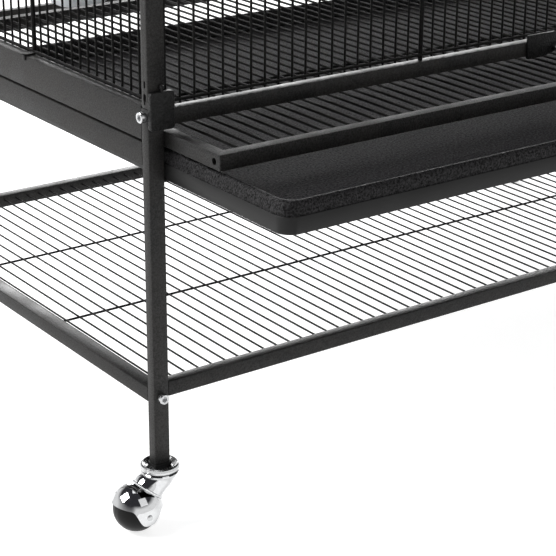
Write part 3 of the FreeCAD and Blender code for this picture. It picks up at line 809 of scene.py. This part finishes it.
def front_door():
    """The front door, its knuckles and its bolt plate; returns where the bolt lies."""
    bm = bmesh.new()
    left, right = FRONT_ROD, -FRONT_ROD
    low, high = DOOR_Z
    bars = spread(left + 7.0, right - 5.0, round((right - left - 12.0) / FRONT_PITCH))
    rows = spread(low + 2, high - 2, 3)
    ends = (bars[0] - 1, bars[-1] + 1)
    panel(bm, bars[1:-1], rows, front_point(PLANE), (low + 1, high - 1), ends, (0.7, -0.7))
    for u in (bars[0], bars[-1]):
        wire(bm, Vector((u, PLANE, low + 0.8)), Vector((u, PLANE, high - 0.8)), 1.4, 10)
    for z in (low + 30, high - 30):
        knuckle(bm, Vector((left, PLANE, 0)), z, KNUCKLE, Vector((bars[0], PLANE, 0)))
    middle = (low + high) / 2
    bolt_y = PLANE + ROD + 0.3 + BOLT_R
    strap = bmesh.new()
    corner = Vector((bars[-4] - 1, PLANE - 1.0, middle - 4))
    bar(strap, corner, Vector((bars[-1] + 1, PLANE + 0.6, middle + 4)), 0.4)
    cutter = bmesh.new()
    for x in (bars[-3] + 2.5, bars[-2] - 2.5):
        at = Vector((x, PLANE, middle))
        wire(cutter, at - Y * 4, at + Y * 4, 1.6, 20)
    slot_low = Vector((bars[-3] + 2.5, PLANE - 4, middle - 1.6))
    bar(cutter, slot_low, Vector((bars[-2] - 2.5, PLANE + 4, middle + 1.6)), 0.01, 1)
    finished("door_bolt_plate", strap, SHEET, "front_door", cutter=cutter)
    for x in (bars[-4] + 2, bars[-1] - 2):
        loop = ((1.55, -2.0), (2.5, -2.0), (2.6, -1.8), (2.6, 1.8), (2.5, 2.0), (1.55, 2.0))
        turned(bm, loop + loop[:1], 18, Vector((x, bolt_y, middle)), X)
        foot = Vector((x - 2, PLANE + 0.4, middle - 2.4))
        bar(bm, foot, Vector((x + 2, bolt_y - 1.3, middle + 2.4)), 0.3)
    bmesh.ops.remove_doubles(bm, verts=bm.verts, dist=0.005)
    bmesh.ops.recalc_face_normals(bm, faces=bm.faces)
    finished("front_door_wires", bm, WIRE_COAT, "front_door", ["front_door"])
    return bars, bolt_y, middle


def door_bolt(bars, y, z):
    """The sliding bolt with its round knob."""
    bm = bmesh.new()
    knob_x = bars[-3] + 3.4
    wire(bm, Vector((bars[-4] - 3, y, z)), Vector((-FRONT_ROD - 4, y, z)), BOLT_R, 16)
    wire(bm, Vector((knob_x, y, z)), Vector((knob_x, FRONT - 3, z)), 1.2, 14)
    knob = ((0, 0), (3.0, 0), (3.8, 0.5), (4.0, 1.4), (3.6, 2.4), (2.2, 2.9), (0, 3.0))
    turned(bm, knob, 28, Vector((knob_x, FRONT - 2, z)), -Y)
    bmesh.ops.remove_doubles(bm, verts=bm.verts, dist=0.005)
    bmesh.ops.recalc_face_normals(bm, faces=bm.faces)
    finished("door_bolt", bm, STEEL, "door_latch", ["door_latch"])


def feeder_door(side):
    """A small side door that hangs on the side panel's thick rod."""
    name = "feeder_door_" + side
    out = -1 if side == "left" else 1
    x = out * (RIGHT - SIDE_INSET)
    door_x = x + out * 5.6
    near, far = FEEDER_NEAR, SIDE_ROD
    low, high = FEEDER_Z
    bars = spread(near - 1, far - 7, 3)
    bm = bmesh.new()
    rows = spread(low + 2, high - 2, 2)
    panel(bm, bars, rows, side_point(door_x, -out), (low + 0.8, high - 0.8),
          (bars[0] - 1, bars[-1] + 1), (-0.5, 0.6))
    for z in (low + 14, high - 26):
        turned(bm, barrel(KNUCKLE), 20, Vector((x, far, z)))
        xs = sorted((x + out * 2.6, door_x + out * 1.0))
        bar(bm, Vector((xs[0], far - 1, z)), Vector((xs[1], far + 1, z + KNUCKLE)), 0.3)
        xs = sorted((door_x - out * 0.9, door_x + out * 1.0))
        bar(bm, Vector((xs[0], bars[-1] - 1, z)), Vector((xs[1], far + 1, z + KNUCKLE)), 0.3)
    bmesh.ops.recalc_face_normals(bm, faces=bm.faces)
    finished(name + "_wires", bm, WIRE_COAT, name, [name])


def feeder_cup(side):
    """A ribbed hanging cup with a rolled rim and two hooks."""
    name = "feeder_cup_" + side
    out = -1 if side == "left" else 1
    middle = (FEEDER_NEAR + SIDE_ROD) / 2 + 2.0
    inner = LEFT + SIDE_INSET + ROD + 2.0
    floor = CUP_FLOOR
    low = Vector((inner, middle - CUP_WIDE / 2, 0))
    high = Vector((inner + CUP_OUT, middle + CUP_WIDE / 2, 0))
    bm = bmesh.new()
    profile = ((12.0, 0.6), (8.6, 0.0), (6.8, 0.5), (5.6, 1.8), (5.0, 4.0), (2.6, 30.0),
               (0.2, 58.6), (-1.2, 59.2), (-1.4, 60.4), (-1.0, 61.8), (0.4, 62.2), (1.7, 61.6), (2.2, 58.0),
               (4.6, 30.0), (7.0, 4.6), (8.4, 2.6), (11.0, 2.2))
    loops = [rounded_loop(bm, low, high, floor + z, inset, CUP_CORNER, 6) for inset, z in profile]
    skinned(bm, loops)
    bmesh.ops.contextual_create(bm, geom=loops[0])
    bmesh.ops.contextual_create(bm, geom=loops[-1])
    for rib in range(-5, 6):
        for face in (-1, 1):
            start = Vector((inner + CUP_OUT / 2 + rib * 3.3, middle + face * 14.6, floor + 4.5))
            wire(bm, start, start + Vector((rib * 0.4, face * 4.4, 53)), 0.8, 8)
    for y in (middle - HOOK_Y, middle + HOOK_Y):
        over = CUP_WIRE_Z + 1.3 + 0.3
        bar(bm, Vector((LEFT + 7.9, y - 3, over)), Vector((inner + 2, y + 3, over + 2)), 0.4)
        bar(bm, Vector((LEFT + 7.9, y - 3, over - 6)), Vector((LEFT + 9.5, y + 3, over + 2)), 0.4)
    if out > 0:
        bmesh.ops.mirror(bm, geom=list(bm.verts) + list(bm.edges) + list(bm.faces), axis="X",
                         merge_dist=-1)
        gone = [v for v in bm.verts if v.co.x < 0]
        bmesh.ops.delete(bm, geom=gone, context="VERTS")
    bmesh.ops.recalc_face_normals(bm, faces=bm.faces)
    finished(name + "_moulding", bm, CUP_SKIN, name, [name], sharp=38)


door_bolt(*front_door())
for side in ("left", "right"):
    feeder_door(side)
    feeder_cup(side)


# ---------------------------------------------------------------- casters
BALL_R = 18.7
HOOD_R = 21.7
TRAIL = 22.5
BALL = Vector((-TRAIL, 0, BALL_R))
TO_HEAD = Vector((TRAIL, 0, 27.5)).normalized()


def flange():
    """The dished collar plate pressed on under the post."""
    bm = bmesh.new()
    profile = ((5.0, 46.9), (5.0, 50.2), (8.6, 49.6), (10.8, 50.2), (12.6, 51.8), (13.9, 52.3),
               (15.2, 51.6), (15.8, 50.0), (15.5, 48.3), (14.6, 47.3), (13.0, 46.9))
    turned(bm, profile + profile[:1], 56)
    return bm


def hood_dome(bm):
    """A pressed dome over the ball, with an ear down each side to the axle."""
    made = bmesh.ops.create_uvsphere(bm, u_segments=96, v_segments=48, radius=HOOD_R - 0.5)["verts"]
    geom = made + list({e for v in made for e in v.link_edges})
    geom += list({f for v in made for f in v.link_faces})
    bmesh.ops.bisect_plane(bm, geom=geom, plane_co=(0, 0, 0), plane_no=(0, 0, -1), clear_outer=True)
    for v in bm.verts:
        r = v.co.length
        polar = math.acos(max(-1, min(1, v.co.z / r)))
        turn = math.atan2(abs(v.co.y), v.co.x)
        ear = math.exp(-(((math.degrees(turn) - 90) / 27) ** 4))
        lean = math.cos(turn)
        edge = math.radians(77 + 9 * lean + (34 - 4 * lean) * ear)
        polar = polar * edge / (math.pi / 2)
        near = max(0.0, 1 - (edge - polar) / math.radians(13))
        r += 0.45 * near * near * (1 - ear)
        around = math.atan2(v.co.y, v.co.x)
        flat = math.sin(polar)
        v.co.x = r * flat * math.cos(around)
        v.co.y = r * flat * math.sin(around)
        v.co.z = r * math.cos(polar)
        off = Vector((v.co.x, 0, v.co.z)).length
        if off < 4.6:
            v.co.y *= 1 - 0.055 * (1 + math.cos(math.pi * off / 4.6)) / 2
    bmesh.ops.translate(bm, vec=BALL, verts=bm.verts)


def hood():
    """The hood with its neck up to the stem and the rolled bead where they meet."""
    bm = bmesh.new()
    hood_dome(bm)
    bmesh.ops.recalc_face_normals(bm, faces=bm.faces)
    bmesh.ops.solidify(bm, geom=list(bm.faces), thickness=0.9)
    horn = (
        (Vector((0, 0, 46.4)), Z, 14.4),
        (Vector((0, 0, 45.6)), Z, 15.1),
        (Vector((0, 0, 44.6)), Z, 15.0),
        (Vector((-0.6, 0, 43.0)), (Z * 4 + TO_HEAD).normalized(), 13.8),
        (Vector((-2.0, 0, 40.6)), (Z + TO_HEAD).normalized(), 12.9),
        (BALL + TO_HEAD * 21.6, TO_HEAD, 12.6),
        (BALL + TO_HEAD * 15.5, TO_HEAD, 13.0),
    )
    loops = [ring(bm, centre, axis, radius, 40) for centre, axis, radius in horn]
    for a, b in zip(loops, loops[1:]):
        bmesh.ops.bridge_loops(bm, edges=a + b)
    bmesh.ops.contextual_create(bm, geom=loops[0])
    bmesh.ops.contextual_create(bm, geom=loops[-1])
    corners = [i * math.pi / 4 for i in range(8)]
    bead = [(13.2 + 0.9 * math.cos(a), 0.9 * math.sin(a)) for a in corners]
    turned(bm, bead + bead[:1], 48, BALL + TO_HEAD * 17.2, TO_HEAD)
    wire(bm, Vector((0, 0, 46.0)), Vector((0, 0, 76.0)), 2.5, 20)
    bmesh.ops.remove_doubles(bm, verts=bm.verts, dist=0.003)
    bmesh.ops.recalc_face_normals(bm, faces=bm.faces)
    return bm


def axle():
    """The axle through the ball, riveted over at both ends."""
    bm = bmesh.new()
    dome = ((0, -0.2), (2.3, -0.2), (2.3, 0.2), (1.9, 0.7), (1.1, 1.05), (0, 1.15))
    for way in (Y, -Y):
        turned(bm, dome, 24, BALL + way * (HOOD_R - 1.1), way)
    wire(bm, BALL - Y * 20.5, BALL + Y * 20.5, 2.15, 20)
    bmesh.ops.remove_doubles(bm, verts=bm.verts, dist=0.003)
    bmesh.ops.recalc_face_normals(bm, faces=bm.faces)
    return bm


def ball():
    """A solid ball with a moulding line round its middle."""
    bm = bmesh.new()
    turn = Matrix.Rotation(math.pi / 2, 4, "X")
    bmesh.ops.create_uvsphere(bm, u_segments=64, v_segments=40, radius=BALL_R, matrix=turn)
    for v in bm.verts:
        v.co *= 1 - 0.012 * math.exp(-((v.co.y / 0.5) ** 2))
    bmesh.ops.translate(bm, vec=BALL, verts=bm.verts)
    return bm


def collar(low, high):
    """The black plug whose edge shows under the post."""
    bm = bmesh.new()
    rim = Vector((0.9, 0.9, 0))
    bar(bm, low - rim - Z * 2.4, Vector((high.x, high.y, low.z)) + rim + Z * 1.2, 0.5)
    return bm


for depth, side in CORNERS:
    where = depth + "_" + side
    low, high = span("leg_" + where)
    swivel = Vector(((low.x + high.x) / 2, (low.y + high.y) / 2, 0))
    turn = Matrix.Rotation(0 if side == "left" else math.pi, 4, "Z")
    for name, shape, coat, slot, body, node, sharp in (
        ("caster_flange_", flange, FLANGE, "chrome", "frame", "caster_cup_", 30),
        ("caster_hood_shell_", hood, CHROME, "chrome", "caster_", "caster_hood_", 40),
        ("caster_rivets_", axle, STEEL, "chrome", "caster_", "caster_axle_", 30),
        ("caster_ball_solid_", ball, BALL_SKIN, "black_ball", "ball_", "caster_ball_", 60),
    ):
        bm = shape()
        bmesh.ops.recalc_face_normals(bm, faces=bm.faces)
        bmesh.ops.transform(bm, matrix=Matrix.Translation(swivel) @ turn, verts=bm.verts)
        rides = body if body == "frame" else body + where
        finished(name + where, bm, coat, rides, [node + where], sharp)
    finished("caster_collar_" + where, collar(low, high), CAP_SKIN)


# ---------------------------------------------------------------- parts shown as they are
for node, coat in (("tray_runners", SHEET), ("grate_runners", SHEET), ("rail_plugs", STEEL)):
    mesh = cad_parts[node].data
    mesh.materials.clear()
    mesh.materials.append(coat)


# ---------------------------------------------------------------- studio
def softbox(name, spot, aim, size, radiance):
    lamp = bpy.data.lights.new(name, "AREA")
    lamp.shape = "RECTANGLE"
    lamp.size, lamp.size_y = size
    lamp.energy = radiance * math.pi * size[0] * size[1]
    holder = bpy.data.objects.new(name, lamp)
    bpy.context.scene.collection.objects.link(holder)
    holder.location = spot
    holder.rotation_euler = (Vector(aim) - Vector(spot)).to_track_quat("-Z", "Y").to_euler()


softbox("key_softbox", (-2.3, 1.0, 2.4), (-0.2, 0.0, 0.3), (1.7, 1.7), 13.0)
softbox("front_softbox", (0.1, -2.3, 2.2), (0, 0, 0.3), (1.8, 1.8), 1.0)
softbox("rear_softbox", (2.0, 2.75, 1.35), (0, 0, 0.3), (3.2, 1.5), 7.0)
softbox("top_softbox", (0.4, 0.6, 3.4), (0, 0, 0.3), (2.0, 2.0), 1.5)

world = bpy.data.worlds.new("studio")
bpy.context.scene.world = world
world.use_nodes = True
sky = world.node_tree
lookup = sky.nodes.new("ShaderNodeTexCoord")
split = sky.nodes.new("ShaderNodeSeparateXYZ")
fade = sky.nodes.new("ShaderNodeValToRGB")
sky.links.new(lookup.outputs["Generated"], split.inputs["Vector"])
sky.links.new(split.outputs["Z"], fade.inputs["Fac"])
fade.color_ramp.elements[0].position = 0.30
fade.color_ramp.elements[0].color = (1.0, 1.0, 1.0, 1.0)
fade.color_ramp.elements[1].position = 0.55
fade.color_ramp.elements[1].color = (0.04, 0.04, 0.045, 1.0)
sky.links.new(fade.outputs["Color"], sky.nodes["Background"].inputs["Color"])
sky.nodes["Background"].inputs["Strength"].default_value = 1.0

paper = Finish("white_floor", (0.6, 0.6, 0.6), 0.9, 0.0, 0.1)
paper.tint(paper.noise(3.0), (0.58, 0.58, 0.58), (0.60, 0.60, 0.60))
paper.set("Emission Color", (1.0, 1.0, 1.0, 1.0))
paper.set("Emission Strength", 0.75)
sweep = bmesh.new()
bmesh.ops.create_grid(sweep, x_segments=1, y_segments=1, size=9.0)
floor = as_object("studio_floor", sweep)
floor.data.materials.append(paper.material)

VIEW_SPOT = (-1.0415, -1.2121, 0.6917)
YAW, PITCH, ROLL = -35.97, 90 - 21.57, 0.39
lens = bpy.data.cameras.new("view")
lens.lens = 112.2
lens.sensor_width = 36.0
lens.clip_start = 0.05
lens.clip_end = 100.0
camera = bpy.data.objects.new("view", lens)
bpy.context.scene.collection.objects.link(camera)
camera.matrix_world = (
    Matrix.Translation(VIEW_SPOT)
    @ Matrix.Rotation(math.radians(YAW), 4, "Z")
    @ Matrix.Rotation(math.radians(PITCH), 4, "X")
    @ Matrix.Rotation(math.radians(ROLL), 4, "Z")
)
bpy.context.scene.camera = camera
bpy.context.scene.view_settings.view_transform = "Standard"
